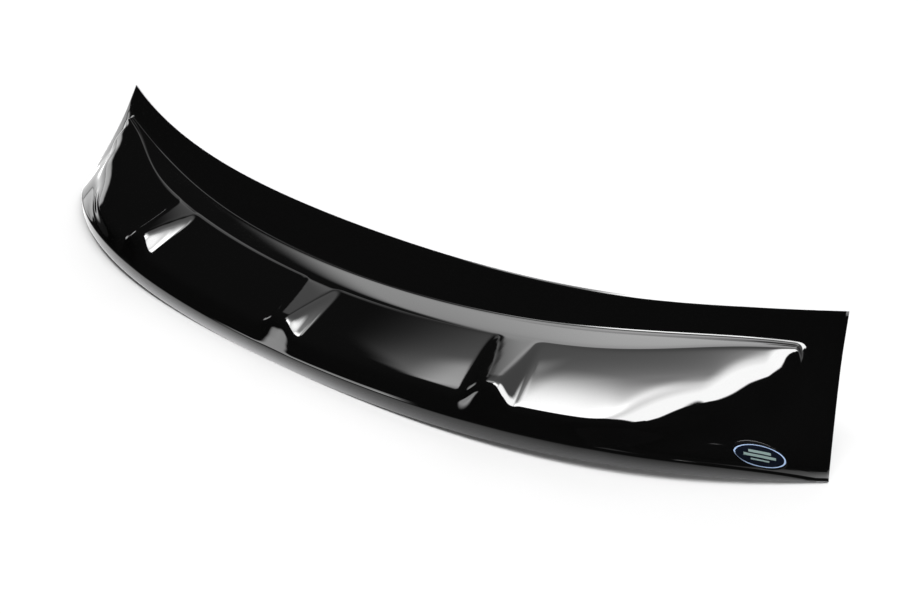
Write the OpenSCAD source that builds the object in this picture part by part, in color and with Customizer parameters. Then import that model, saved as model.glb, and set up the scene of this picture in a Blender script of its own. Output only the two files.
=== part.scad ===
// Hood deflector: a band of gloss black acrylic, heated and drawn over a mould as one sheet.
// It stands on its turned-down lip, curves round the bonnet's front edge and leans back.
// X runs along the band, -Y is the side that meets the wind, Z is up.

/* [Plan] */
// Length of the front edge along its curve, from corner to corner
front_length = 1394; // [1200:1:1550]
// Angle through which each half of the front edge turns back
end_turn = 48.3; // [36:0.1:56]
// Share of that turn which is spread evenly, as on a plain arc
even_share = 0.328; // [0.2:0.002:0.6]
// Share of the turn that is given back before the corner, which straightens the ends
late_share = 0.45; // [0.1:0.01:0.6]
// How much further each half of the rear edge reaches than the front edge does
side_splay = 53; // [20:1:90]
// How far the front corners stand forward of the front curve
corner_advance = 12; // [0:0.5:20]

/* [Section] */
// Thickness of the sheet
sheet_t = 3; // [2:0.1:4]
// Depth of the band at the middle, measured level
depth_mid = 197.4; // [160:0.1:230]
// Depth of the band above the front corners, measured level
depth_end = 107.6; // [90:0.1:140]
// Height of the rear edge at the middle
rise_mid = 108.6; // [90:0.1:140]
// Height of the rear edge behind the front corners
rise_end = 148.4; // [120:0.1:180]
// Height of the turned-down lip at the middle
lip_h = 19; // [12:0.5:28]
// Where the lip has run out, as a share of the half length
lip_end = 0.98; // [0.9:0.01:0.99]
// Gap under the lip between its three resting places
lip_arch = 10.9; // [0:0.1:16]

/* [Raised panel] */
// Width of the rear flange at the middle, measured level
flange_mid = 53; // [40:0.1:70]
// Width of the rear flange at the ends, measured level
flange_end = 24.5; // [16:0.1:40]
// How far the crease lies below the straight line from lip to rear edge, at the middle
flange_drop = 14.8; // [0:0.1:20]
// Width of the level band between the crease and the crest
crest_band = 42; // [24:0.5:50]
// Width that is left of that band at the ends
crest_band_end = 12; // [6:0.5:20]
// How far the panel's shoulder stands out over the line from crest to lip, at the middle
crown_mid = 12; // [4:0.1:18]
// How far the shoulder stands out at the ends
crown_end = 32; // [16:0.1:38]
// Width of the flat end plate beside the panel's widest place
end_plate = 37; // [20:1:80]
// How much shorter each half of the panel is at the lip than at its widest place
end_draw_lip = 205; // [120:1:260]
// How much shorter each half of the panel is at the rear edge's line
end_draw_rear = 58; // [30:1:100]
// Length of the slope that closes the panel's end at the crest
end_slope = 14; // [8:0.5:40]
// Length by which that slope is longer at the lip
end_slope_lip = 150; // [80:1:170]

/* [Ribs] */
// Number of ribs
rib_count = 3; // [1:2:3]
// Distance between neighbouring ribs along the front edge
rib_pitch = 312.5; // [160:0.5:420]
// Half width of a rib's ridge at its nose
rib_ridge = 3; // [2:0.1:8]
// Half width that the ridge grows to at the crest
rib_top = 24; // [8:0.5:26]
// Half width of a rib at its foot
rib_foot = 40; // [28:0.5:52]
// How far the nose of a rib stands behind the lip
nose_back = 19; // [8:0.5:26]
// Angle at which a rib's ridge falls from the crest to the nose
ridge_dip = 10.5; // [2:0.1:16]

/* [Corner sticker] */
// Length of the oval sticker
sticker_l = 59; // [40:1:72]
// Height of the oval sticker
sticker_h = 28.5; // [20:0.5:32]
// Thickness of the sticker
sticker_t = 0.8; // [0.4:0.1:2]
// Distance of the sticker's middle from the corner, along the front edge
sticker_from_end = 74; // [60:1:110]
// Distance of the sticker's middle from the lip's fold, up the slope
sticker_up = 17.5; // [17:0.5:40]
// Angle by which the sticker's outer end hangs down
sticker_lean = 10; // [0:1:14]

/* [Hidden] */

half = front_length / 2;

// Spacing of the sections over the open panels, over the ends, and number over half a rib
step_open = 20;
step_end = 11;
RIB_STEPS = 8;
end_zone = 0.6 * half;

// Places of the panel's controls on the way from crest to lip, the one nearest the lip first
panel_places = [0.94, 0.88, 0.81, 0.73, 0.49, 0.25];
// Place of the panel's shoulder on that way, and how full the panel is between crest and shoulder
shoulder = 0.81;
fullness = 0.5;
// Places of a ridge's controls on the way from crest to nose, the nose first
ridge_places = [1, 0.78, 0.52, 0.25];
// Places of its controls on the way from nose to lip, the one nearest the lip first
drop_places = [0.7, 0.35];

// Numbers of the section's controls at the folds
FOLD_LIP = 3;
FOLD_CREST = 12;
FOLD_CREASE = 16;
LAST = 19;

// Distances of the helper controls that keep the folds tight
near_lip = [3, 4];
near_crest = 6;
near_crease = 5;

// The panel is longest here, as a share of the way from lip to rear edge
widest = 0.66;
reach = half + side_splay * widest - end_plate;

// The lip leans back by this much, and its rows keep this width where it has run out
lip_lean = 0.5;
edge_rows = 2;

// How fast the flange narrows, where the band narrows, and the share of the crown that comes late
flange_fade = 1.9;
band_narrows = [0.5, 1.05];
late_crown = 0.9;

// Play left for the sticker's glue, and sides of the polygon that stands for its oval
glue_gap = 0.05;
SIDES = 40;

// Weights that add up a curve from its slope at even steps
STEPS = 12;
weights = [for (i = [0:STEPS]) (i % STEPS == 0 ? 1 : i % 2 == 1 ? 4 : 2) / STEPS / 3];

function unit(v) = v / norm(v);

// A step from 0 to 1 between a and b, level and unbent at both ends
function ease(a, b, v) =
    let (x = max(0, min(1, (v - a) / (b - a))))
    x * x * x * (x * (6 * x - 15) + 10);

// Heading of the front edge at arc length s from the middle
function heading(s) =
    let (u = s / half, late = 1 - even_share + late_share)
    end_turn * (even_share * u + late * pow(u, 3) - late_share * pow(u, 5));

// The point that stands r behind the front curve at arc length s, at height z
function place(s, r, z) =
    let (turns = [for (i = [0:STEPS]) heading(s * i / STEPS)],
         x = s * (weights * [for (a = turns) cos(a)]),
         y = s * (weights * [for (a = turns) sin(a)]))
    [x - sin(heading(s)) * r, y + cos(heading(s)) * r, z];

// Square of the share of the half length at which s lies
function outness(s) = pow(s / half, 2);

// A value that grows from a at the middle to b at the corners, with a share of it coming late
function growing(a, b, late, s) =
    let (w = outness(s))
    a + (b - a) * w * (1 - late + late * w);

// The sheet's corners rest on its inner edge, so the outer edge is one thickness higher there
corner_lift = sheet_t * cos(atan2(rise_end, depth_end + corner_advance));

// Lip's foot, lip's top and rear edge of the section at s, each as [distance behind, height]
function foot(s) =
    let (w = min(1, outness(s)))
    [-corner_advance * pow(w, 3), lip_arch * 4 * w * (1 - w) + corner_lift * pow(w, 6)];

// Where the lip has run out, its rows lie at the edge of the plate
function lip_top(s) =
    let (u = sqrt(min(1, outness(s))), share = max(0, 1 - pow(u / lip_end, 8)))
    foot(s) + share * [lip_lean, lip_h] + (1 - share) * edge_rows * unit(rear(s) - foot(s));

function rear(s) =
    [growing(depth_mid, depth_end, 0.606, s), growing(rise_mid, rise_end, -0.088, s)];

// The plate that the panel rises from: straight from the lip's top to the rear edge
function plate(s, r) =
    let (a = lip_top(s), b = rear(s))
    [r, a.y + (b.y - a.y) * (r - a.x) / (b.x - a.x)];

// How far back a point of the section stands, as a share of the plate
function share_back(s, q) = (q.x - lip_top(s).x) / (rear(s).x - lip_top(s).x);

function crease(s) =
    let (w = min(1, outness(s)), flange = flange_end + (flange_mid - flange_end) * pow(1 - w, flange_fade))
    plate(s, rear(s).x - flange) - [0, flange_drop * (1 - w)];

function crest(s) =
    let (narrowed = ease(band_narrows[0], band_narrows[1], sqrt(outness(s))))
    crease(s) - [crest_band + (crest_band_end - crest_band) * narrowed, 0];

// Place of control k on the straight line from crest to lip; the last is the crest itself
function chord(s, k) =
    let (a = crest(s))
    k == 6 ? a : a + panel_places[k] * (lip_top(s) - a);

// Control k of the plain panel: slowly down from crest to shoulder, then steeply to the lip
function panel_control(s, k) =
    let (d = lip_top(s) - crest(s), out = unit([d.y, -d.x]), t = panel_places[k] / shoulder,
         crown = growing(crown_mid, crown_end, late_crown, min(abs(s), half)),
         bow = t < 1 ? t * (1 + fullness * (1 - t)) : (1 - panel_places[k]) / (1 - shoulder))
    chord(s, k) + bow * crown * out;

// Control k of a rib: on its ridge from the crest to the nose, then down the nose to the lip
function rib_control(s, k) =
    let (a = crest(s), b = lip_top(s), run = a.x - b.x - nose_back,
         nose = a - run * [1, tan(ridge_dip)])
    k < 2 ? nose + drop_places[k] * (b - nose) : a + ridge_places[k - 2] * (nose - a);

rib_at = [for (i = [0:rib_count - 1]) (i - (rib_count - 1) / 2) * rib_pitch];

// The ridge is wide at the crest and narrow from the nose down
function rib_share(s, k) =
    let (down = k < 2 ? 1 : ridge_places[k - 2], ridge = rib_top + (rib_ridge - rib_top) * down)
    1 - ease(ridge, rib_foot, min([for (p = rib_at) abs(s - p)]));

function body_control(s, k) =
    k == 6 ? crest(s) :
    let (plain = panel_control(s, k))
    plain + rib_share(s, k) * (rib_control(s, k) - plain);

// Share of its height that the panel keeps: 1 along it, 0 on the flat end plate
function kept(s, t) =
    let (draw = t < widest ? end_draw_lip * pow(1 - t / widest, 2)
                           : end_draw_rear * pow((t - widest) / (1 - widest), 2),
         slope = end_slope + end_slope_lip * max(0, 1 - t / (widest + 0.04)))
    1 - ease(reach - draw - slope, reach - draw, abs(s));

// Arc length of control k of column u: the side edges splay, so it grows toward the rear
function control_s(u, k, s, rounds) =
    rounds == 0 ? s :
    let (q = k == 7 ? crease(s) : chord(s, k))
    control_s(u, k, u * (half + side_splay * max(0, min(1, share_back(s, q)))), rounds - 1);

function body_point(u, k) =
    let (s = control_s(u, k, u * half, 2),
         flat = plate(s, chord(s, min(k, 6)).x),
         q = k == 7 ? crease(s) : flat + kept(s, share_back(s, flat)) * (body_control(s, k) - flat))
    place(s, q.x, q.y);

function toward(a, b, d) = a + (b - a) * min(0.5, d / max(0.001, norm(b - a)));

// Controls of the section at column u, from the lip's foot to the rear edge
function controls(u) =
    let (s = u * half,
         e = u * (half + side_splay),
         low = place(s, foot(s).x, foot(s).y),
         top = place(s, lip_top(s).x, lip_top(s).y),
         back = place(e, rear(e).x, rear(e).y),
         body = [for (k = [0:5]) body_point(u, k)],
         peak = body_point(u, 6),
         fold = body_point(u, 7))
    [low, (low + top) / 2, toward(top, low, near_lip[0]), top, toward(top, body[0], near_lip[1]),
     each body, toward(peak, body[5], near_crest), peak, toward(peak, fold, near_crest),
     (peak + fold) / 2, toward(fold, peak, near_crease), fold, toward(fold, back, near_crease),
     (fold + back) / 2, back];

// Smooth curve that runs along the controls q, at place v
function curve(q, v) =
    let (i = min(floor(v), LAST - 1),
         f = v - i,
         before = i == 0 ? 2 * q[0] - q[1] : q[i - 1],
         after = i == LAST - 1 ? 2 * q[LAST] - q[LAST - 1] : q[i + 2])
    (pow(1 - f, 3) * before + (3 * pow(f, 3) - 6 * f * f + 4) * q[i]
     + (-3 * pow(f, 3) + 3 * f * f + 3 * f + 1) * q[i + 1] + pow(f, 3) * after) / 6;

// Even steps from a to b, no longer than the step given, without a itself
function fill(a, b, step) =
    let (n = ceil((b - a) / step))
    b > a ? [for (i = [1:n]) a + (b - a) * i / n] : [];

// Columns on the right half: close over the ribs and the ends, wide between them
after_ribs = max(rib_at) + rib_foot;
right = concat(
    fill(0, rib_foot, rib_foot / RIB_STEPS),
    rib_count > 1 ? fill(rib_foot, rib_pitch - rib_foot, step_open) : [],
    rib_count > 1 ? fill(rib_pitch - rib_foot, rib_pitch + rib_foot, rib_foot / RIB_STEPS) : [],
    fill(after_ribs, end_zone, step_open),
    fill(max(after_ribs, end_zone), half, step_end));
columns = concat([for (i = [len(right) - 1:-1:0]) -right[i]], 0, right) / half;

// Rows: close at the folds and over the noses, wide over the lip, the band and the flange
rows = concat(
    0, FOLD_LIP - 1.2, fill(FOLD_LIP - 1.2, FOLD_LIP + 1.2, 0.8), fill(FOLD_LIP + 1.2, 8.2, 0.8),
    fill(8.2, FOLD_CREST - 1, 1), FOLD_CREST, FOLD_CREST + 1,
    FOLD_CREASE - 1, FOLD_CREASE, FOLD_CREASE + 1, LAST);

outer = [for (u = columns) let (q = controls(u)) [for (v = rows) curve(q, v)]];
C = len(columns) - 1;
R = len(rows) - 1;

// Outward direction at column i and row j
function outward(i, j) =
    unit(cross(outer[min(C, i + 1)][j] - outer[max(0, i - 1)][j],
               outer[i][min(R, j + 1)] - outer[i][max(0, j - 1)]));

function inside(i, j) = outer[i][j] - sheet_t * outward(i, j);

// Each section as a closed ring: up the outer face and back down the inner one
sections = [for (i = [0:C]) concat(outer[i], [for (j = [R:-1:0]) inside(i, j)])];

// The part's origin lies under the middle of the sheet's box
all_y = [for (ring = sections) for (p = ring) p.y];
all_z = [for (ring = sections) for (p = ring) p.z];
origin = [0, (min(all_y) + max(all_y)) / 2, min(all_z)];

// A point on the end plate at arc length s, d up the slope from the lip's fold
function on_plate(s, d) =
    let (a = lip_top(s), b = rear(s), q = a + unit(b - a) * d)
    place(s, q.x, q.y);

function above_plate(s, d, h) =
    on_plate(s, d) + h * unit(cross(on_plate(s + 1, d) - on_plate(s - 1, d),
                                    on_plate(s, d + 1) - on_plate(s, d - 1)));

// The sticker's outline at a share of its size, h above the plate
function oval(share, h) = [for (i = [0:SIDES - 1])
    let (a = 360 * i / SIDES,
         p = share * sticker_l / 2 * cos(a),
         q = share * sticker_h / 2 * sin(a),
         along = p * cos(sticker_lean) + q * sin(sticker_lean),
         up = q * cos(sticker_lean) - p * sin(sticker_lean))
    above_plate(half - sticker_from_end + along, sticker_up + up, h)];

// A solid through rings of points, closed at both ends by strips across the ring
module loft(rings) {
    m = len(rings[0]);
    last = len(rings) - 1;
    function id(i, k) = i * m + k % m;
    function split(a, b, c, d) = [[a, b, c], [a, c, d]];
    // The cells are cut the same way on both faces, and as mirror images on both halves
    function cell(i, k) =
        (i < last / 2) == (k < m / 2)
            ? split(id(i, k), id(i, k + 1), id(i + 1, k + 1), id(i + 1, k))
            : split(id(i, k + 1), id(i + 1, k + 1), id(i + 1, k), id(i, k));
    walls = [for (i = [0:last - 1]) for (k = [0:m - 1]) each cell(i, k)];
    start = [for (k = [0:m / 2 - 2])
        each split(id(0, k + 1), id(0, k), id(0, m - 1 - k), id(0, m - 2 - k))];
    finish = [for (k = [0:m / 2 - 2])
        each split(id(last, k), id(last, k + 1), id(last, m - 2 - k), id(last, m - 1 - k))];
    polyhedron([for (ring = rings) each ring], concat(walls, start, finish));
}

module deflector_sheet() {
    color([0.02, 0.02, 0.022])
    translate(-origin)
    loft(sections);
}

module oval_sticker() {
    back = glue_gap;
    face = glue_gap + sticker_t;
    color([0.06, 0.07, 0.1])
    translate(-origin)
    loft([oval(0.3, face), oval(0.7, face), oval(0.96, face), oval(1, face - 0.4 * sticker_t),
          oval(1, back), oval(0.7, back), oval(0.3, back)]);
}

deflector_sheet();
oval_sticker();
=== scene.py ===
"""Gloss black hood deflector on a pale studio table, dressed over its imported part.

Everything is in metres in the part's own frame: +X along the band to the corner with the sticker,
-Y towards the front lip, +Z up, and the table at Z = 0.
"""
import logging
import math
from dataclasses import dataclass, field
from typing import Optional, Sequence, Union

import bmesh
import bpy
import numpy as np
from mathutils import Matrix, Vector


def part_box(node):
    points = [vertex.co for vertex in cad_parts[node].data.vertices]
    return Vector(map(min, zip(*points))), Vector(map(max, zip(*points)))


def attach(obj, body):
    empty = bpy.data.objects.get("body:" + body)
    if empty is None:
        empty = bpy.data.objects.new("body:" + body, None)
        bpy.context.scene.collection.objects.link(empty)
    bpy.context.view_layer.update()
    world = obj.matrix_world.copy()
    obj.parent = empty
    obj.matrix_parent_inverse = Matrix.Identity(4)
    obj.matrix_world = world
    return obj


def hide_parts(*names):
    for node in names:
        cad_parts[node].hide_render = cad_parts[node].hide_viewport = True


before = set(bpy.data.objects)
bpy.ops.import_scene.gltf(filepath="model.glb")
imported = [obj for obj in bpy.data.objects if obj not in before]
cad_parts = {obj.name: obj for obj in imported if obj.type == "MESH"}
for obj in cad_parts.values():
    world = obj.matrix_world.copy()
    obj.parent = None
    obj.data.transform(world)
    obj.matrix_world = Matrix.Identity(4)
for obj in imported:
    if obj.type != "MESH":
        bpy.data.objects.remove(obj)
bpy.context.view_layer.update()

log = logging.getLogger("hood_deflector")

Span = tuple[float, float]
Color = tuple[float, float, float, float]
Socket = bpy.types.NodeSocket
Value = Union[float, Color, Socket]

SHEET_NODE = "deflector_sheet"
STICKER_NODE = "oval_sticker"

# The sheet rests on the back of its trimmed lip, so the front of that edge is this much higher.
FOOT_LIFT = 0.000079

# The controls behind the panel's own, which are numbered 0 to 5 from the lip up.
CREST, CREASE = 6, 7

# An edge that turns by more than this belongs to a piece's trimmed rim.
SHARP = math.radians(50)


def ease(a: float, b: float, v: np.ndarray) -> np.ndarray:
    """Steps from 0 to 1 between two values, level and unbent at both ends.

    Args:
        a: Value at which the step starts.
        b: Value at which it ends.
        v: Where it is read.

    Returns:
        The step's height at each v.
    """
    x = np.clip((v - a) / (b - a), 0, 1)
    return x**3 * (x * (6 * x - 15) + 10)


def unit(v: np.ndarray) -> np.ndarray:
    """Returns each vector of an array with a length of 1."""
    return v / np.linalg.norm(v, axis=-1, keepdims=True)


@dataclass(frozen=True)
class SheetForm:
    """The outer face of the drawn sheet as formulas, in the same sizes as the solid.

    A place on it is given as s along the front edge, r behind that edge and z above the lip's foot.
    "Late" sizes say how much of a change along the sheet comes near its corners.
    """

    front: Vector

    # The front edge in plan: half its length, its turn at the corner and how that is spread.
    half: float = 0.697
    end_turn: float = math.radians(48.3)
    even_share: float = 0.328
    late_share: float = 0.45
    arc_steps: int = 12

    # The corners: how far the side leans out behind the foot, how far the foot comes forward, and
    # the passes that fit a column to the leaning side.
    side_splay: float = 0.053
    corner_advance: float = 0.012
    advance_power: int = 3
    side_passes: int = 2

    # The sheet's thickness, and the rear edge's depth and height.
    sheet_t: float = 0.003
    depth_mid: float = 0.1974
    depth_end: float = 0.1076
    late_depth: float = 0.606
    rise_mid: float = 0.1086
    rise_end: float = 0.1484
    late_rise: float = -0.088

    # The front lip, which runs out into the end plate near the corner. There the fold's controls
    # stand edge_rows behind the foot's.
    lip_h: float = 0.019
    lip_end: float = 0.98
    lip_fade: int = 8
    lip_lean: float = 0.0005
    edge_rows: float = 0.002
    lip_arch: float = 0.0109
    lift_power: int = 6

    # The rear flange: its width, and how deep its crease lies under the straight line to the lip.
    flange_mid: float = 0.0530
    flange_end: float = 0.0245
    flange_drop: float = 0.0148
    flange_fade: float = 1.9

    # The level band between crease and crest, and its slight roll, which fades over the panel's
    # rows below it.
    crest_band: float = 0.042
    crest_band_end: float = 0.012
    band_narrows: Span = (0.5, 1.05)
    band_roll: float = 0.0010
    roll_rows: Span = (12.2, 15.4)
    roll_fade: int = 4
    panel_rows: tuple[int, int] = (5, 12)

    # The panel's bow: its depth, where its shoulder lies and how full it is above that.
    crown_mid: float = 0.012
    crown_end: float = 0.032
    late_crown: float = 0.9
    shoulder: float = 0.81
    fullness: float = 0.5

    # The flat end plate: its least width, how much wider it grows to the lip and to the rear, and
    # the slope from the panel down to it.
    end_plate: float = 0.037
    end_draw_lip: float = 0.205
    end_draw_rear: float = 0.058
    end_slope: float = 0.014
    end_slope_lip: float = 0.150
    slope_past: float = 0.04
    widest: float = 0.66

    # The ribs: half widths of the ridge at the nose and at the crest and of the foot, how far the
    # nose stands behind the lip, and the ridge's fall.
    rib_at: tuple[float, ...] = (-0.3125, 0.0, 0.3125)
    rib_ridge: float = 0.003
    rib_top: float = 0.024
    rib_foot: float = 0.040
    nose_back: float = 0.019
    ridge_dip: float = math.radians(10.5)

    # Places of the controls from crest to lip, from crest to nose and from nose to lip, and the
    # distances of those that keep the folds tight.
    panel_places: tuple[float, ...] = (0.94, 0.88, 0.81, 0.73, 0.49, 0.25)
    ridge_places: tuple[float, ...] = (1, 0.78, 0.52, 0.25)
    drop_places: Span = (0.7, 0.35)
    below_lip_fold: float = 0.003
    above_lip_fold: float = 0.004
    beside_crest: float = 0.006
    beside_crease: float = 0.005
    last: int = 19

    def heading(self, s: np.ndarray) -> np.ndarray:
        """Gives the direction of the front edge.

        Args:
            s: Arc lengths along that edge.

        Returns:
            Its heading at each s, in radians from the X axis.
        """
        u = s / self.half
        late = 1 - self.even_share + self.late_share
        return self.end_turn * (self.even_share * u + late * u**3 - self.late_share * u**5)

    def place(self, s: np.ndarray, q: np.ndarray) -> np.ndarray:
        """Puts section points in space; the front edge is summed up by Simpson's rule.

        Args:
            s: Arc lengths along the front edge.
            q: Section points (r, z), one for each s.

        Returns:
            Points (x, y, z) in the part's frame.
        """
        steps = self.arc_steps
        counts = [1 if i % steps == 0 else 4 if i % 2 else 2 for i in range(steps + 1)]
        weights = np.array(counts) / steps / 3
        turns = self.heading(s[..., None] * np.linspace(0, 1, steps + 1))
        x, y = s * (np.cos(turns) @ weights), s * (np.sin(turns) @ weights)
        a = self.heading(s)
        flat = np.stack([x - np.sin(a) * q[..., 0], y + np.cos(a) * q[..., 0], q[..., 1]], -1)
        return flat + np.array(self.front)

    def outness(self, s: np.ndarray) -> np.ndarray:
        """Returns the square of the share of the half length at which s lies."""
        return (s / self.half) ** 2

    def growing(self, a: float, b: float, late: float, s: np.ndarray) -> np.ndarray:
        """Gives a size that changes along the sheet.

        Args:
            a: The size at the middle.
            b: The size at the corners.
            late: The share of the change that comes late.
            s: Arc lengths along the front edge.

        Returns:
            The size at each s.
        """
        w = self.outness(s)
        return a + (b - a) * w * (1 - late + late * w)

    def foot(self, s: np.ndarray) -> np.ndarray:
        """Gives the lip's foot; it is arched, and its corners come forward.

        Args:
            s: Arc lengths along the front edge.

        Returns:
            Section points (r, z).
        """
        w = np.minimum(1, self.outness(s))
        lift = self.sheet_t * math.cos(math.atan2(self.rise_end, self.depth_end + self.corner_advance))
        z = self.lip_arch * 4 * w * (1 - w) + lift * w**self.lift_power
        return np.stack([-self.corner_advance * w**self.advance_power, z], -1)

    def lip_top(self, s: np.ndarray) -> np.ndarray:
        """Gives the fold over the lip; where the lip has run out it lies on the plate.

        Args:
            s: Arc lengths along the front edge.

        Returns:
            Section points (r, z).
        """
        u = np.sqrt(np.minimum(1, self.outness(s)))
        share = np.maximum(0, 1 - (u / self.lip_end) ** self.lip_fade)[..., None]
        foot = self.foot(s)
        upright = foot + share * (self.lip_lean, self.lip_h)
        return upright + (1 - share) * self.edge_rows * unit(self.rear(s) - foot)

    def rear(self, s: np.ndarray) -> np.ndarray:
        """Returns the rear edge as (r, z)."""
        depth = self.growing(self.depth_mid, self.depth_end, self.late_depth, s)
        return np.stack([depth, self.growing(self.rise_mid, self.rise_end, self.late_rise, s)], -1)

    def plate(self, s: np.ndarray, r: np.ndarray) -> np.ndarray:
        """Gives points of the straight line from the lip's top to the rear edge.

        Args:
            s: Arc lengths along the front edge.
            r: Distances behind that edge.

        Returns:
            Section points (r, z).
        """
        a, b = self.lip_top(s), self.rear(s)
        slope = (b[..., 1] - a[..., 1]) / (b[..., 0] - a[..., 0])
        return np.stack([r, a[..., 1] + slope * (r - a[..., 0])], -1)

    def share_back(self, s: np.ndarray, q: np.ndarray) -> np.ndarray:
        """Returns how far back a section point stands, as a share of the plate."""
        a, b = self.lip_top(s), self.rear(s)
        return (q[..., 0] - a[..., 0]) / (b[..., 0] - a[..., 0])

    def crease(self, s: np.ndarray) -> np.ndarray:
        """Gives the valley between the rear flange and the level band.

        Args:
            s: Arc lengths along the front edge.

        Returns:
            Section points (r, z).
        """
        w = np.minimum(1, self.outness(s))
        flange = self.flange_end + (self.flange_mid - self.flange_end) * (1 - w) ** self.flange_fade
        drop = self.flange_drop * (1 - w)
        return self.plate(s, self.rear(s)[..., 0] - flange) - np.stack([0 * drop, drop], -1)

    def crest(self, s: np.ndarray) -> np.ndarray:
        """Gives the front edge of the level band.

        Args:
            s: Arc lengths along the front edge.

        Returns:
            Section points (r, z).
        """
        narrowed = ease(*self.band_narrows, np.sqrt(self.outness(s)))
        width = self.crest_band + (self.crest_band_end - self.crest_band) * narrowed
        return self.crease(s) - np.stack([width, 0 * width], -1)

    def chord(self, s: np.ndarray, k: int) -> np.ndarray:
        """Returns the place of control k on the straight line from crest to lip."""
        a = self.crest(s)
        return a if k == CREST else a + self.panel_places[k] * (self.lip_top(s) - a)

    def panel_control(self, s: np.ndarray, k: int) -> np.ndarray:
        """Places a control of the plain panel, which falls slowly to its shoulder, then steeply.

        Args:
            s: Arc lengths along the front edge.
            k: The control's number.

        Returns:
            Section points (r, z).
        """
        d = self.lip_top(s) - self.crest(s)
        out = unit(np.stack([d[..., 1], -d[..., 0]], -1))
        near = np.minimum(np.abs(s), self.half)
        crown = self.growing(self.crown_mid, self.crown_end, self.late_crown, near)
        f = self.panel_places[k]
        t = f / self.shoulder
        bow = t * (1 + self.fullness * (1 - t)) if t < 1 else (1 - f) / (1 - self.shoulder)
        return self.chord(s, k) + bow * crown[..., None] * out

    def rib_control(self, s: np.ndarray, k: int) -> np.ndarray:
        """Places a control of a rib, which runs along its ridge to the nose, then down to the lip.

        Args:
            s: Arc lengths along the front edge.
            k: The control's number.

        Returns:
            Section points (r, z).
        """
        a, b = self.crest(s), self.lip_top(s)
        run = (a[..., 0] - b[..., 0] - self.nose_back)[..., None]
        nose = a - run * (1, math.tan(self.ridge_dip))
        drops = len(self.drop_places)
        if k < drops:
            return nose + self.drop_places[k] * (b - nose)
        return a + self.ridge_places[k - drops] * (nose - a)

    def body_control(self, s: np.ndarray, k: int) -> np.ndarray:
        """Places a control of the raised panel, ribs included.

        Args:
            s: Arc lengths along the front edge.
            k: The control's number, up to the crest's.

        Returns:
            Section points (r, z).
        """
        if k == CREST:
            return self.crest(s)
        plain = self.panel_control(s, k)
        nearest = np.min([np.abs(s - at) for at in self.rib_at], axis=0)
        drops = len(self.drop_places)
        down = 1 if k < drops else self.ridge_places[k - drops]
        ridge = self.rib_top + (self.rib_ridge - self.rib_top) * down
        rib = 1 - ease(ridge, self.rib_foot, nearest)[..., None]
        return plain + rib * (self.rib_control(s, k) - plain)

    def kept(self, s: np.ndarray, t: np.ndarray) -> np.ndarray:
        """Gives the share of its height that the panel keeps: 1 along it, 0 on the end plate.

        Args:
            s: Arc lengths along the front edge.
            t: How far back each place stands, as a share of the plate.

        Returns:
            The share at each place.
        """
        reach = self.half + self.side_splay * self.widest - self.end_plate
        near = self.end_draw_lip * (1 - t / self.widest) ** 2
        far = self.end_draw_rear * ((t - self.widest) / (1 - self.widest)) ** 2
        draw = np.where(t < self.widest, near, far)
        wide = np.maximum(0, 1 - t / (self.widest + self.slope_past))
        slope = self.end_slope + self.end_slope_lip * wide
        x = np.clip((np.abs(s) - reach + draw + slope) / slope, 0, 1)
        return 1 - ease(0, 1, x)

    def body_point(self, u: np.ndarray, k: int) -> np.ndarray:
        """Puts a control of the panel, its crest or the crease in space.

        Args:
            u: Columns, from -1 at the left corner to 1 at the right one.
            k: The control's number.

        Returns:
            Points (x, y, z), one for each column.
        """
        pick = self.crease if k == CREASE else lambda s: self.chord(s, k)
        s = u * self.half
        for _ in range(self.side_passes):
            back = np.clip(self.share_back(s, pick(s)), 0, 1)
            s = u * (self.half + self.side_splay * back)
        if k == CREASE:
            return self.place(s, pick(s))
        flat = self.plate(s, pick(s)[..., 0])
        share = self.kept(s, self.share_back(s, flat))[..., None]
        return self.place(s, flat + share * (self.body_control(s, k) - flat))

    def controls(self, u: np.ndarray) -> np.ndarray:
        """Gives the controls of every section, from the lip's foot to the rear edge.

        Args:
            u: Columns, from -1 at the left corner to 1 at the right one.

        Returns:
            An array of 20 rows of points, one point for each column.
        """

        def toward(a: np.ndarray, b: np.ndarray, d: float) -> np.ndarray:
            """Returns the point at distance d from a on the way to b, but no further than half-way."""
            reach = np.maximum(1e-6, np.linalg.norm(b - a, axis=-1, keepdims=True))
            return a + (b - a) * np.minimum(0.5, d / reach)

        s, e = u * self.half, u * (self.half + self.side_splay)
        low, top = self.place(s, self.foot(s)), self.place(s, self.lip_top(s))
        back = self.place(e, self.rear(e))
        body = [self.body_point(u, k) for k in range(CREST)]
        peak, fold = self.body_point(u, CREST), self.body_point(u, CREASE)
        return np.stack(
            [
                low,
                (low + top) / 2,
                toward(top, low, self.below_lip_fold),
                top,
                toward(top, body[0], self.above_lip_fold),
                *body,
                toward(peak, body[-1], self.beside_crest),
                peak,
                toward(peak, fold, self.beside_crest),
                (peak + fold) / 2,
                toward(fold, peak, self.beside_crease),
                fold,
                toward(fold, back, self.beside_crease),
                (fold + back) / 2,
                back,
            ]
        )

    def surface(self, u: np.ndarray, v: np.ndarray) -> np.ndarray:
        """Gives the sheet's outer face, a uniform cubic B-spline up each section.

        Args:
            u: Columns, from -1 to 1.
            v: Places up the section, from 0 at the lip's foot to 19 at the rear edge.

        Returns:
            An array of points, one row for each v and one column for each u.
        """
        q = self.controls(u)
        q = np.concatenate([2 * q[:1] - q[1:2], q, 2 * q[-1:] - q[-2:-1]])
        i = np.minimum(np.floor(v).astype(int), self.last - 1)
        f = (v - i)[:, None, None]
        parts = ((1 - f) ** 3, 3 * f**3 - 6 * f**2 + 4, -3 * f**3 + 3 * f**2 + 3 * f + 1, f**3)
        points = sum(part * q[i + n] for n, part in enumerate(parts)) / 6
        points[..., 2] -= self.band_roll * self.rolled(v)[:, None] * (1 - u**self.roll_fade)
        return points

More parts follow.
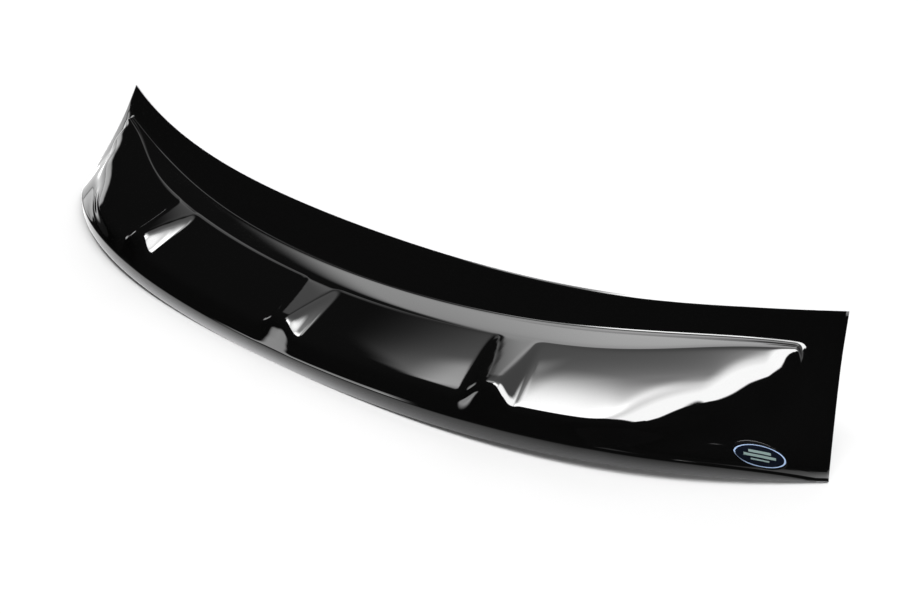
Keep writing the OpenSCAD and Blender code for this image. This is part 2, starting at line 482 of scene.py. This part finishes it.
    def rolled(self, v: np.ndarray) -> np.ndarray:
        """Gives the share of the band's roll, which grows down the band and fades below it.

        Args:
            v: Places up the section.

        Returns:
            The share at each place.
        """
        low, high = self.roll_rows
        over = np.clip((high - v) / (high - low), 0, 1) ** 2
        rows = np.arange(self.panel_rows[0], self.panel_rows[1] + 1)
        under = np.interp(v, rows, (0, *self.panel_places[::-1], 1))
        return over * under

    def above_plate(self, s: np.ndarray, d: np.ndarray, h: np.ndarray) -> np.ndarray:
        """Gives points over the flat end plate.

        Args:
            s: Arc lengths along the front edge.
            d: Distances up the slope from the lip's fold.
            h: Heights over the plate.

        Returns:
            Points (x, y, z) in the part's frame.
        """

        def on_plate(s: np.ndarray, d: np.ndarray) -> np.ndarray:
            """Returns the plate's own points."""
            a = self.lip_top(s)
            return self.place(s, a + unit(self.rear(s) - a) * d[..., None])

        step = 0.001
        along = on_plate(s + step, d) - on_plate(s - step, d)
        up = on_plate(s, d + step) - on_plate(s, d - step)
        return on_plate(s, d) + h[..., None] * unit(np.cross(along, up))


class Nodes:
    """A small helper that adds and joins the nodes of one material or world."""

    def __init__(self, owner: bpy.types.ID) -> None:
        """Empties the owner's node tree."""
        owner.use_nodes = True
        self.tree = owner.node_tree
        self.tree.nodes.clear()

    def add(self, kind: str, inputs: Optional[dict] = None, **settings: object) -> bpy.types.Node:
        """Adds one node.

        Args:
            kind: The node's type name.
            inputs: Socket names or numbers, each with a value or another node's output socket.
            **settings: The node's own properties.

        Returns:
            The new node.
        """
        node = self.tree.nodes.new(kind)
        for name, value in settings.items():
            setattr(node, name, value)
        for name, value in (inputs or {}).items():
            if isinstance(value, Socket):
                self.tree.links.new(value, node.inputs[name])
            else:
                node.inputs[name].default_value = value
        return node

    def math(self, operation: str, a: Value, b: Value = 0.0, c: Value = 0.0) -> Socket:
        """Adds one arithmetic node and returns its result."""
        return self.add("ShaderNodeMath", {0: a, 1: b, 2: c}, operation=operation).outputs[0]

    def step(self, value: Value, low: float, high: float, floor: float = 0.0, top: float = 1.0) -> Socket:
        """Adds a smooth step of value between low and high and returns its result."""
        inputs = {"Value": value, "From Min": low, "From Max": high, "To Min": floor, "To Max": top}
        return self.add("ShaderNodeMapRange", inputs, interpolation_type="SMOOTHSTEP").outputs[0]

    def mix(self, share: Value, under: Value, over: Value) -> Socket:
        """Adds a mix of two colours, by the share of the second, and returns it."""
        return self.add("ShaderNodeMix", {"Factor": share, 6: under, 7: over}, data_type="RGBA").outputs[2]

    def noise(self, where: Socket, scale: float, detail: float, roughness: float = 0.5) -> Socket:
        """Adds a noise pattern and returns its height."""
        inputs = {"Vector": where, "Scale": scale, "Detail": detail, "Roughness": roughness}
        return self.add("ShaderNodeTexNoise", inputs).outputs["Fac"]

    def bump(self, height: Socket, distance: float, normal: Optional[Socket] = None) -> Socket:
        """Adds a bump of full strength.

        Args:
            height: The pattern's height.
            distance: How far a height of 1 stands out, in metres.
            normal: The bump that it lies on, if any.

        Returns:
            The bumped normal.
        """
        inputs = {"Height": height, "Distance": distance, "Strength": 1.0}
        if normal is not None:
            inputs["Normal"] = normal
        return self.add("ShaderNodeBump", inputs).outputs[0]

    def uneven(self, pattern: Socket, heights: Span, mean: float, shares: Span) -> Socket:
        """Adds a roughness that varies with a pattern.

        Args:
            pattern: The pattern's height.
            heights: The heights between which the roughness changes.
            mean: The finish's own roughness.
            shares: The least and the greatest share of it.

        Returns:
            The roughness.
        """
        return self.step(pattern, *heights, mean * shares[0], mean * shares[1])

    def attribute(self, name: str) -> Socket:
        """Adds a read of a number kept in the mesh's vertices and returns it."""
        return self.add("ShaderNodeAttribute", attribute_name=name).outputs["Fac"]

    def surface(self, color: Value, roughness: Socket, ior: float, normal: Socket) -> None:
        """Ends a material with its one shader.

        Args:
            color: The base colour.
            roughness: How blurred its reflections are.
            ior: Its index of refraction.
            normal: Its bumped normal.
        """
        inputs = {"Base Color": color, "Roughness": roughness, "IOR": ior, "Normal": normal}
        shader = self.add("ShaderNodeBsdfPrincipled", inputs)
        self.add("ShaderNodeOutputMaterial", {"Surface": shader.outputs[0]})


@dataclass(frozen=True)
class GlossAcrylic:
    """Cast acrylic, coloured through and left with the gloss it had before it was drawn.

    It reads two numbers kept in its piece's vertices: the height of a rolled face over the mesh, in
    metres, which is negative, and the share of the painted sheen: a paler colour on the lip that
    stands in for the light it reflects.
    """

    color: Color = (0.0009, 0.0009, 0.0009, 1)
    roughness: float = 0.03
    ior: float = 1.49
    sag_scale: float = 14.0
    sag_detail: Span = (1.0, 0.4)
    sag_depth: float = 0.00003
    haze_heights: Span = (0.35, 0.7)
    haze_shares: Span = (0.7, 1.5)
    roll: str = "plate_roll"
    # The lip's painted sheen: a paler colour that stands in for the light the lip reflects.
    painted_sheen: str = "lip_painted_sheen"
    painted_sheen_color: Color = (0.20, 0.20, 0.205, 1)
    grain_scale: float = 900.0
    grain_detail: float = 2.0
    grain_depth: float = 0.0000012

    def material(self, name: str) -> bpy.types.Material:
        """Makes the material with its slow drawing waves and its fine haze.

        Args:
            name: The material's name.

        Returns:
            The material.
        """
        made = bpy.data.materials.new(name)
        nodes = Nodes(made)
        where = nodes.add("ShaderNodeTexCoord").outputs["Object"]
        waves = nodes.noise(where, self.sag_scale, *self.sag_detail)
        grain = nodes.noise(where, self.grain_scale, self.grain_detail)
        sunk = nodes.bump(nodes.attribute(self.roll), 1.0)
        slow = nodes.bump(waves, self.sag_depth, sunk)
        fine = nodes.bump(grain, self.grain_depth, slow)
        haze = nodes.uneven(waves, self.haze_heights, self.roughness, self.haze_shares)
        # Painted sheen: the lip is mixed toward a paler colour that stands in for the light it reflects.
        color = nodes.mix(nodes.attribute(self.painted_sheen), self.color, self.painted_sheen_color)
        nodes.surface(color, haze, self.ior, fine)
        return made


@dataclass(frozen=True)
class SawnEdge:
    """The acrylic's trimmed edge: the same black, dulled by the cutter."""

    color: Color = (0.012, 0.012, 0.013, 1)
    roughness: float = 0.34
    ior: float = 1.49
    stroke_scale: float = 700.0
    stroke_detail: float = 3.0
    stroke_depth: float = 0.00002
    dull_heights: Span = (0.3, 0.7)
    dull_shares: Span = (0.8, 1.25)

    def material(self, name: str) -> bpy.types.Material:
        """Makes the material with its fine cutter marks.

        Args:
            name: The material's name.

        Returns:
            The material.
        """
        made = bpy.data.materials.new(name)
        nodes = Nodes(made)
        where = nodes.add("ShaderNodeTexCoord").outputs["Object"]
        marks = nodes.noise(where, self.stroke_scale, self.stroke_detail)
        dull = nodes.uneven(marks, self.dull_heights, self.roughness, self.dull_shares)
        nodes.surface(self.color, dull, self.ior, nodes.bump(marks, self.stroke_depth))
        return made


@dataclass(frozen=True)
class PrintedLabel:
    """The sticker's print: a dark ground, a thin pale rim line and three plain bars.

    The print is an oval a little slimmer than the label, turned and set low on it, with a black
    border around. Its places run from -1 to 1 across the oval and up it. Each bar is given by its
    middle, half its length and half its width. The proportion is the label's length over its
    height. The bump leans the whole face by a little.
    """

    ground: Color = (0.0014, 0.0022, 0.0045, 1)
    border: Color = (0.0009, 0.0009, 0.0010, 1)
    border_radii: Span = (0.96, 0.975)
    line: Color = (0.15, 0.20, 0.29, 1)
    line_inside: Span = (0.90, 0.925)
    line_outside: Span = (0.985, 0.965)
    bars: Color = (0.085, 0.115, 0.11, 1)
    bar_places: tuple[tuple[float, float, float, float], ...] = (
        (0, 0.34, 0.42, 0.12),
        (0, -0.02, 0.6, 0.12),
        (0, -0.38, 0.34, 0.07),
    )
    bar_soft: Span = (0.01, 0.02)
    roughness: float = 0.16
    ior: float = 1.46
    ink_scale: float = 60.0
    ink_detail: float = 2.0
    ink_heights: Span = (0.3, 0.7)
    ink_shares: Span = (0.8, 1.2)
    lean: float = 0.0062
    turn: float = math.radians(6)
    slimness: float = 1.18
    drop: float = 0.07
    proportion: float = 59 / 28.5

    def turned(self, nodes: Nodes, across: Socket, up: Socket) -> tuple[Socket, Socket]:
        """Adds the nodes that turn the print on the label and make it slimmer.

        Args:
            nodes: The material's nodes.
            across: Place across the label, from -1 to 1.
            up: Place up the label, from the print's middle.

        Returns:
            The place across and up the print.
        """
        straight, aside = math.cos(self.turn), math.sin(self.turn)
        level = nodes.math("MULTIPLY", across, straight)
        x = nodes.math("MULTIPLY_ADD", up, aside / self.proportion, level)
        upright = nodes.math("MULTIPLY", up, straight)
        y = nodes.math("MULTIPLY_ADD", across, -aside * self.proportion, upright)
        return x, nodes.math("MULTIPLY", y, self.slimness)

    def bar(self, nodes: Nodes, place: Sequence[float], x: Socket, y: Socket) -> Socket:
        """Adds the nodes for one bar.

        Args:
            nodes: The material's nodes.
            place: The bar's middle across and up, half its length and half its width.
            x: Place across the print.
            y: Place up the print.

        Returns:
            The share of the bar's ink at each place.
        """
        sides = []
        for at, middle, half, soft in zip((x, y), place[:2], place[2:], self.bar_soft):
            off = nodes.math("ABSOLUTE", nodes.math("SUBTRACT", at, middle))
            sides.append(nodes.step(off, half + soft, half - soft))
        return nodes.math("MULTIPLY", *sides)

    def material(self, name: str) -> bpy.types.Material:
        """Makes the material.

        Args:
            name: The material's name.

        Returns:
            The material.
        """
        made = bpy.data.materials.new(name)
        nodes = Nodes(made)
        where = nodes.add("ShaderNodeUVMap", uv_map="label").outputs[0]
        parts = nodes.add("ShaderNodeSeparateXYZ", {"Vector": where})
        across = nodes.math("MULTIPLY_ADD", parts.outputs[0], 2.0, -1.0)
        up = nodes.math("MULTIPLY_ADD", parts.outputs[1], 2.0, -1.0 + self.drop)
        x, y = self.turned(nodes, across, up)
        squares = nodes.math("ADD", nodes.math("POWER", x, 2.0), nodes.math("POWER", y, 2.0))
        radius = nodes.math("SQRT", squares)
        inside, outside = nodes.step(radius, *self.line_inside), nodes.step(radius, *self.line_outside)
        color = nodes.mix(nodes.step(radius, *self.border_radii), self.ground, self.border)
        color = nodes.mix(nodes.math("MULTIPLY", inside, outside), color, self.line)
        for place in self.bar_places:
            color = nodes.mix(self.bar(nodes, place, x, y), color, self.bars)
        ink = nodes.noise(where, self.ink_scale, self.ink_detail)
        rough = nodes.uneven(ink, self.ink_heights, self.roughness, self.ink_shares)
        nodes.surface(color, rough, self.ior, nodes.bump(up, self.lean))
        return made


def thickened(mesh: bmesh.types.BMesh, thickness: float) -> list[bmesh.types.BMEdge]:
    """Turns an open face upward and gives it a wall underneath.

    Args:
        mesh: The face, which becomes a closed shell.
        thickness: The wall's thickness.

    Returns:
        The sharp edges of the shell's rim.
    """
    bmesh.ops.recalc_face_normals(mesh, faces=mesh.faces[:])
    if sum((face.normal for face in mesh.faces), Vector()).z < 0:
        bmesh.ops.reverse_faces(mesh, faces=mesh.faces[:])
    bmesh.ops.solidify(mesh, geom=mesh.faces[:], thickness=thickness)
    return [e for e in mesh.edges if len(e.link_faces) == 2 and e.calc_face_angle() > SHARP]


def finished(
    name: str, mesh: bmesh.types.BMesh, materials: Sequence[bpy.types.Material]
) -> bpy.types.Object:
    """Turns a finished bmesh into a smooth-shaded object at the origin.

    Args:
        name: The piece's name.
        mesh: Its bmesh, which is freed.
        materials: Its materials, in the order of the faces' material numbers.

    Returns:
        The new object, linked to the scene.
    """
    for face in mesh.faces:
        face.smooth = True
    data = bpy.data.meshes.new(name)
    mesh.to_mesh(data)
    mesh.free()
    for material in materials:
        data.materials.append(material)
    piece = bpy.data.objects.new(name, data)
    bpy.context.scene.collection.objects.link(piece)
    return piece


@dataclass
class DrawnSheet:
    """The whole deflector but for its sticker: one drawn sheet with its trimmed edges."""

    form: SheetForm
    columns: int = 480
    rows_per_control: int = 4
    edge_round: float = 0.0005

    # The lip's painted sheen, a paler colour that stands in for the light it reflects: the rows over
    # which it fades, how much of it is lost to the right, and where.
    sheen_rows: float = 2.4
    sheen_lost: float = 0.8
    sheen_from: Span = (-0.2, 0.55)
    sheen_power: int = 2

    # The roll of the right end plate's foot: its depth, the shares of the half length over which it
    # comes in, the rows between which it falls and how fast the upper one rises to the right.
    roll_drop: float = 0.012
    roll_from: Span = (0.58, 0.69)
    roll_rows: Span = (3.4, 7.3)
    roll_rises: float = 5.0
    roll_power: float = 1.5

    acrylic: GlossAcrylic = field(default_factory=GlossAcrylic)
    edge: SawnEdge = field(default_factory=SawnEdge)

    def outer_face(self) -> bmesh.types.BMesh:
        """Makes a grid and moves its vertices on to the outer face.

        Returns:
            The face, with the bump's height and the painted sheen's share in its vertices.
        """
        rows = self.rows_per_control * self.form.last
        up = np.linspace(0, self.form.last, rows + 1)
        net = self.form.surface(np.linspace(-1, 1, self.columns + 1), up)
        mesh = bmesh.new()
        bmesh.ops.create_grid(mesh, x_segments=self.columns, y_segments=rows, size=1)
        roll = mesh.verts.layers.float.new(self.acrylic.roll)
        painted_sheen = mesh.verts.layers.float.new(self.acrylic.painted_sheen)
        for vert in mesh.verts:
            column = round((vert.co.x + 1) / 2 * self.columns)
            row = round((vert.co.y + 1) / 2 * rows)
            vert.co = Vector(net[row, column])
            u, v = 2 * column / self.columns - 1, row / self.rows_per_control
            vert[roll] = self.plate_roll(u, v)
            # The share of painted sheen on the lip, standing in for the light it reflects.
            vert[painted_sheen] = self.lip_painted_sheen(u, v)
        return mesh

    def plate_roll(self, u: float, v: float) -> float:
        """Gives how far the right end plate's foot rolls down below the flat, for the finish alone.

        Args:
            u: Share of the half length, negative to the left.
            v: Place up the section.

        Returns:
            The height of the rolled face over the mesh, in metres.
        """
        along = ease(*self.roll_from, np.array(u))
        top = self.roll_rows[1] + self.roll_rises * (u - self.roll_from[0])
        down = np.clip((top - v) / (top - self.roll_rows[0]), 0, 1)
        return -self.roll_drop * float(along * down**self.roll_power)

    def lip_painted_sheen(self, u: float, v: float) -> float:
        """Gives the share of the lip's painted sheen, a paler colour standing in for the light it
        reflects, which grows down it and to the left.

        Args:
            u: Share of the half length, negative to the left.
            v: Place up the section.

        Returns:
            The share of the painted sheen's colour.
        """
        along = 1 - self.sheen_lost * float(ease(*self.sheen_from, np.array(u)))
        return along * max(0.0, 1 - v / self.sheen_rows) ** self.sheen_power

    def build(self) -> bpy.types.Object:
        """Gives the face its thickness and its trimmed edges.

        Returns:
            The finished piece.
        """
        mesh = self.outer_face()
        sharp = thickened(mesh, self.form.sheet_t)
        for face in {f for e in sharp for f in e.link_faces if f.calc_area() and self.is_rim(f)}:
            face.material_index = 1
        bmesh.ops.bevel(
            mesh,
            geom=sharp,
            offset=self.edge_round,
            segments=2,
            profile=0.5,
            material=1,
            affect="EDGES",
            clamp_overlap=True,
        )
        materials = [self.acrylic.material("gloss_acrylic"), self.edge.material("sawn_edge")]
        return finished("drawn_sheet", mesh, materials)

    @staticmethod
    def is_rim(face: bmesh.types.BMFace) -> bool:
        """Tells whether a face belongs to the trimmed edge: both of its long sides turn sharply."""
        return sum(e.calc_face_angle(0.0) > SHARP for e in face.edges) >= 2


@dataclass
class OvalSticker:
    """The printed label near the right-hand front corner.

    Its middle lies from_end inward of the corner along the front edge, and up the plate from the
    lip's fold. The gap is its play over the plate. Of the disc it is made from, the rings take up
    the ringed share, and the rounding is a share of its thickness.
    """

    form: SheetForm
    length: float = 0.059
    height: float = 0.0285
    thickness: float = 0.0008
    gap: float = 0.00005
    from_end: float = 0.074
    up: float = 0.0175
    lean: float = math.radians(10)
    rings: int = 8
    ringed: float = 0.9
    sides: int = 96
    rounding: float = 0.3
    label: PrintedLabel = field(default_factory=PrintedLabel)

    def disc(self) -> bmesh.types.BMesh:
        """Makes a round disc with a radius of 1.

        Returns:
            The disc in rings of faces, with its own place as its UV map.
        """
        mesh = bmesh.new()
        bmesh.ops.create_circle(mesh, cap_ends=True, segments=self.sides, radius=1)
        step = self.ringed / self.rings
        for _ in range(self.rings):
            inner = [f for f in mesh.faces if len(f.verts) > 4]
            bmesh.ops.inset_region(mesh, faces=inner, thickness=step, use_even_offset=False)
        bmesh.ops.poke(mesh, faces=[f for f in mesh.faces if len(f.verts) > 4])
        layer = mesh.loops.layers.uv.new("label")
        for face in mesh.faces:
            for loop in face.loops:
                loop[layer].uv = (loop.vert.co.x / 2 + 0.5, loop.vert.co.y / 2 + 0.5)
        return mesh

    def build(self) -> bpy.types.Object:
        """Bends the disc on to the end plate as an oval label.

        Returns:
            The finished piece.
        """
        mesh = self.disc()
        flat = np.array([vert.co[:2] for vert in mesh.verts])
        p, q = flat[:, 0] * self.length / 2, flat[:, 1] * self.height / 2
        along = p * math.cos(self.lean) + q * math.sin(self.lean)
        up = q * math.cos(self.lean) - p * math.sin(self.lean)
        s = self.form.half - self.from_end + along
        places = self.form.above_plate(s, self.up + up, np.full(len(s), self.gap + self.thickness))
        for vert, place in zip(mesh.verts, places):
            vert.co = Vector(place)
        bmesh.ops.bevel(
            mesh,
            geom=thickened(mesh, self.thickness),
            offset=self.thickness * self.rounding,
            segments=2,
            profile=0.5,
            material=-1,
            affect="EDGES",
        )
        return finished("label", mesh, [self.label.material("printed_label")])


@dataclass(frozen=True)
class Edge:
    """A straight edge of a light card on the studio's dome, seen in plan from below.

    The card lies on the side toward which the edge faces, in degrees round from +X to +Y. The
    offset is the edge's distance from the dome's middle, and the soft part is as wide as it says.
    """

    facing: float
    offset: float
    soft: float

    def depth(self, nodes: Nodes, x: Value, y: Value) -> Socket:
        """Adds the nodes for how far behind the edge a direction lies.

        Args:
            nodes: The world's nodes.
            x: The direction's part along X.
            y: Its part along Y.

        Returns:
            The distance, above 0 on the card.
        """
        angle = math.radians(self.facing)
        along = nodes.math("MULTIPLY", x, math.cos(angle))
        reach = nodes.math("MULTIPLY_ADD", y, math.sin(angle), along)
        return nodes.math("SUBTRACT", reach, self.offset)


@dataclass(frozen=True)
class Card:
    """A patch of light on the studio's dome, bounded by straight edges in plan.

    With a fade, its light falls off behind that edge, to a third over the edge's softness.
    """

    light: float
    edges: tuple[Edge, ...]
    fade: Optional[Edge] = None

    def shine(self, nodes: Nodes, x: Value, y: Value) -> Socket:
        """Adds the nodes for the card's light.

        Args:
            nodes: The world's nodes.
            x: The direction's part along X.
            y: Its part along Y.

        Returns:
            The light that comes from that direction.
        """
        share: Value = self.light
        for edge in self.edges:
            lit = nodes.step(edge.depth(nodes, x, y), -edge.soft / 2, edge.soft / 2)
            share = nodes.math("MULTIPLY", lit, share)
        if self.fade:
            past = nodes.math("MAXIMUM", self.fade.depth(nodes, x, y), 0.0)
            fall = nodes.math("EXPONENT", nodes.math("DIVIDE", past, -self.fade.soft))
            share = nodes.math("MULTIPLY", share, fall)
        return share


# Edges that several cards share: the overhead softbox's and the far wall's.
BOX_FRONT = Edge(68, -0.30, 0.03)
BOX_CUT = Edge(40, -0.385, 0.025)
BOX_RIGHT = Edge(156, -0.68, 0.05)
BOX_CORNER = Edge(135, -0.69, 0.03)
WALL_TOP = Edge(90, 0.41, 0.05)
WALL_RIGHT = Edge(180, -0.20, 0.25)


@dataclass(frozen=True)
class TableFinish:
    """Matt white table; for glossy rays alone it gives off a painted glow near the lip and at the left,
    which the sheet reflects.
    """

    color: Color = (0.228, 0.228, 0.228, 1)

    # The lip's line on the table, y = a + x² (b + c x²), and the painted glow ahead of it, which only
    # the sheet's reflections see: its even part, its part close to the lip and that part's reach, the
    # distances over which all of it dims, what is left of it there, and where on X it starts.
    front: tuple[float, float, float] = (-0.1497, 0.42, 0.1)
    plain: float = 1.15
    glow: float = 3.0
    glow_reach: float = 0.010
    dims: Span = (0.04, 0.09)
    dim: float = 0.03
    near_from: float = -0.75

    # The painted glow beside the left end, to the left of the first place and behind the second.
    left: float = 1.3
    left_edges: Span = (-0.66, 0.05)

    def material(self, name: str) -> bpy.types.Material:
        """Makes the material; its map is the table's own place in metres.

        Args:
            name: The material's name.

        Returns:
            The material.
        """
        made = bpy.data.materials.new(name)
        nodes = Nodes(made)
        where = nodes.add("ShaderNodeTexCoord").outputs["Object"]
        parts = nodes.add("ShaderNodeSeparateXYZ", {"Vector": where})
        x, y = parts.outputs[0], parts.outputs[1]
        square = nodes.math("MULTIPLY", x, x)
        bow = nodes.math("MULTIPLY_ADD", square, self.front[2], self.front[1])
        lip = nodes.math("MULTIPLY_ADD", square, bow, self.front[0])
        ahead = nodes.math("MAXIMUM", nodes.math("SUBTRACT", lip, y), 0.0)
        near = nodes.math("EXPONENT", nodes.math("DIVIDE", ahead, -self.glow_reach))
        total = nodes.math("MULTIPLY_ADD", near, self.glow, self.plain)
        total = nodes.math("MULTIPLY", total, nodes.step(ahead, *self.dims, 1.0, self.dim))
        total = nodes.math("MULTIPLY", total, nodes.math("GREATER_THAN", x, self.near_from))
        side = nodes.math("MULTIPLY", nodes.math("LESS_THAN", x, self.left_edges[0]), self.left)
        side = nodes.math("MULTIPLY", side, nodes.math("GREATER_THAN", y, self.left_edges[1]))
        # Painted glow: light that only glossy rays see, standing in for the table's brightness in the
        # sheet's reflection.
        mirrored = nodes.add("ShaderNodeEmission", {"Strength": nodes.math("MAXIMUM", total, side)})
        diffuse = nodes.add("ShaderNodeBsdfDiffuse", {"Color": self.color})
        glossy = nodes.add("ShaderNodeLightPath").outputs["Is Glossy Ray"]
        mixed = nodes.add("ShaderNodeMixShader", {0: glossy, 1: diffuse.outputs[0], 2: mirrored.outputs[0]})
        nodes.add("ShaderNodeOutputMaterial", {"Surface": mixed.outputs[0]})
        return made


@dataclass
class Studio:
    """The white table, the soft light around it and the camera."""

    table_size: float = 40.0
    finish: TableFinish = field(default_factory=TableFinish)

    # The dome: its light between the cards, the heights over which it starts above the table, and
    # the plain white wall that the camera sees in its stead.
    ambient: float = 0.010
    horizon: Span = (-0.01, 0.03)
    wall: float = 1.0
    white: Color = (1, 1, 1, 1)
    cards: tuple[Card, ...] = (
        # The overhead softbox: its three bright parts, then the whole of it, once falling off to
        # the rear and once even.
        Card(
            24.0,
            (BOX_FRONT, BOX_CUT, Edge(0, -0.41, 0.07), Edge(252, 0.107, 0.15), Edge(180, -0.02, 0.16)),
        ),
        Card(20.0, (BOX_FRONT, Edge(0, 0.10, 0.24), BOX_RIGHT, BOX_CORNER, Edge(277, -0.10, 0.14))),
        Card(5.0, (BOX_FRONT, Edge(0, -0.08, 0.12), Edge(180, -0.12, 0.12), Edge(270, 0.02, 0.12))),
        Card(3.0, (BOX_FRONT, BOX_CUT, Edge(0, -0.58, 0.06), BOX_RIGHT, BOX_CORNER), Edge(90, 0.03, 0.06)),
        Card(1.1, (BOX_FRONT, BOX_CUT, Edge(0, -0.56, 0.10), BOX_RIGHT, BOX_CORNER)),
        # A short strip in the left of the softbox.
        Card(
            4.0,
            (Edge(0, -0.53, 0.05), Edge(180, 0.44, 0.06), Edge(90, 0.02, 0.05), Edge(270, -0.12, 0.06)),
        ),
        # The far wall in two patches, and a thin line that carries its top edge on to the left.
        Card(2.6, (Edge(23, -0.338, 0.035), WALL_TOP, WALL_RIGHT)),
        Card(1.6, (Edge(0, -0.52, 0.20), WALL_TOP, WALL_RIGHT)),
        Card(0.6, (Edge(90, 0.40, 0.02), Edge(270, -0.43, 0.02), Edge(180, 0.55, 0.06))),
        # Two low lights ahead of the lip, to the left.
        Card(
            5.0,
            (Edge(270, 0.55, 0.10), Edge(180, 0.42, 0.10), Edge(0, -0.80, 0.05), Edge(243, 0.945, 0.02)),
        ),
        Card(
            5.0,
            (Edge(270, 0.60, 0.10), Edge(180, 0.20, 0.10), Edge(0, -0.45, 0.10), Edge(230, 0.955, 0.03)),
        ),
        # The low light beyond the left end, and a small dim patch to the left of the softbox.
        Card(2.2, (Edge(180, 0.963, 0.02), Edge(90, 0.07, 0.04))),
        Card(
            0.8,
            (Edge(0, -0.665, 0.03), Edge(180, 0.60, 0.06), Edge(90, 0.31, 0.05), Edge(270, -0.42, 0.04)),
        ),
    )

    # The camera: its direction from the target, and its focal length in pixels of the frame's width.
    azimuth: float = math.radians(37.55)
    elevation: float = math.radians(30.38)
    distance: float = 1.6149
    target: tuple[float, float, float] = (0.05238, 0.32488, -0.052)
    focal_px: float = 1100.0
    frame_px: int = 920
    sensor: float = 36.0

    def light(self) -> None:
        """Paints the dome of light into the world."""
        world = bpy.data.worlds.new("studio")
        bpy.context.scene.world = world
        nodes = Nodes(world)
        where = nodes.add("ShaderNodeTexCoord").outputs["Generated"]
        parts = nodes.add("ShaderNodeSeparateXYZ", {"Vector": where})
        above = nodes.step(parts.outputs[2], *self.horizon)
        total: Value = self.ambient
        for card in self.cards:
            shine = card.shine(nodes, parts.outputs[0], parts.outputs[1])
            total = nodes.math("MULTIPLY_ADD", shine, above, total)
        sky = nodes.add("ShaderNodeBackground", {"Color": self.white, "Strength": total})
        wall = nodes.add("ShaderNodeBackground", {"Color": self.white, "Strength": self.wall})
        seen = nodes.add("ShaderNodeLightPath").outputs["Is Camera Ray"]
        shown = nodes.add("ShaderNodeMixShader", {0: seen, 1: sky.outputs[0], 2: wall.outputs[0]})
        nodes.add("ShaderNodeOutputWorld", {"Surface": shown.outputs[0]})

    def table(self) -> bpy.types.Object:
        """Makes the plain white table.

        Returns:
            The table.
        """
        mesh = bmesh.new()
        bmesh.ops.create_grid(mesh, x_segments=1, y_segments=1, size=self.table_size / 2)
        table = finished("table", mesh, [self.finish.material("white_table")])
        return table

    def camera(self, front: Vector) -> bpy.types.Object:
        """Places the camera as the photograph's stood.

        Args:
            front: The middle of the lip's foot, from which the target is measured.

        Returns:
            The camera.
        """
        flat = math.cos(self.elevation)
        side, ahead = math.sin(self.azimuth) * flat, -math.cos(self.azimuth) * flat
        back = Vector((side, ahead, math.sin(self.elevation)))
        data = bpy.data.cameras.new("camera")
        data.sensor_width = self.sensor
        data.lens = self.focal_px / self.frame_px * self.sensor
        camera = bpy.data.objects.new("camera", data)
        camera.location = front + Vector(self.target) + back * self.distance
        camera.rotation_euler = back.to_track_quat("Z", "Y").to_euler()
        bpy.context.scene.collection.objects.link(camera)
        bpy.context.scene.camera = camera
        return camera


def main() -> None:
    """Builds the studio and the two pieces, in order."""
    logging.basicConfig(level=logging.INFO, format="%(message)s")
    low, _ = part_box(SHEET_NODE)
    front = Vector((0.0, low[1], low[2] + FOOT_LIFT))
    form = SheetForm(front=front)
    studio = Studio()
    studio.table()
    studio.light()
    studio.camera(front)
    bpy.context.scene.view_settings.view_transform = "Standard"

    sheet = DrawnSheet(form).build()
    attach(sheet, "root")
    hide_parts(SHEET_NODE)
    log.info("drawn sheet: %d faces", len(sheet.data.polygons))

    label = OvalSticker(form).build()
    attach(label, "root")
    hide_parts(STICKER_NODE)
    log.info("label: %d faces", len(label.data.polygons))


if __name__ == "__main__":
    main()
